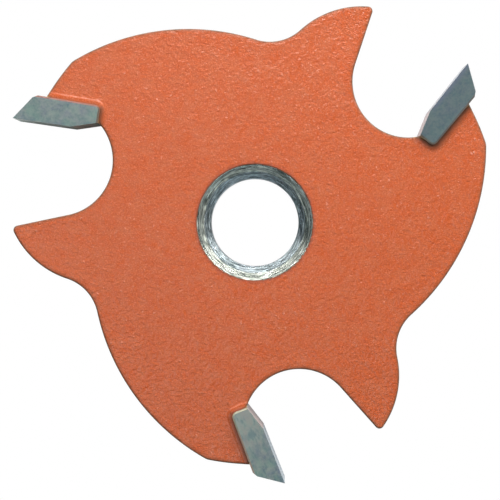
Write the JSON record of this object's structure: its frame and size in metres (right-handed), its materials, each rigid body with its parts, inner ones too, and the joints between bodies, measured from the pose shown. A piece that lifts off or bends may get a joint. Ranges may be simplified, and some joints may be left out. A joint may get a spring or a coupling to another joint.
{
  "type": "carbide-tipped slotting disc",
  "caption": "Small wing-shaped slotting and carving disc: coated steel plate with brazed carbide cutting tips, kick-back limiters and a countersunk arbor bore.",
  "frame": {"origin": "on the bore axis at the middle of the plate's thickness", "axes": "+Z along the bore axis; seen from +Z the disc cuts turning counter-clockwise; the first tip's point lies 36.7 degrees from +X towards +Y"},
  "size_m": [0.0427, 0.043, 0.0064],
  "materials": {
    "machined_steel": "turned bore and countersink, fine rings",
    "orange_film": "fine grained matte non-stick film",
    "ground_carbide": "fine ground, dull blue-grey",
    "braze_alloy": "as flowed"
  },
  "bodies": {
    "root": {"steel_plate": "machined_steel", "orange_coating": "orange_film", "carbide_tip_1": "ground_carbide", "carbide_tip_2": "ground_carbide", "carbide_tip_3": "ground_carbide", "braze_joint_1": "braze_alloy", "braze_joint_2": "braze_alloy", "braze_joint_3": "braze_alloy"}
  },
  "joints": []
}
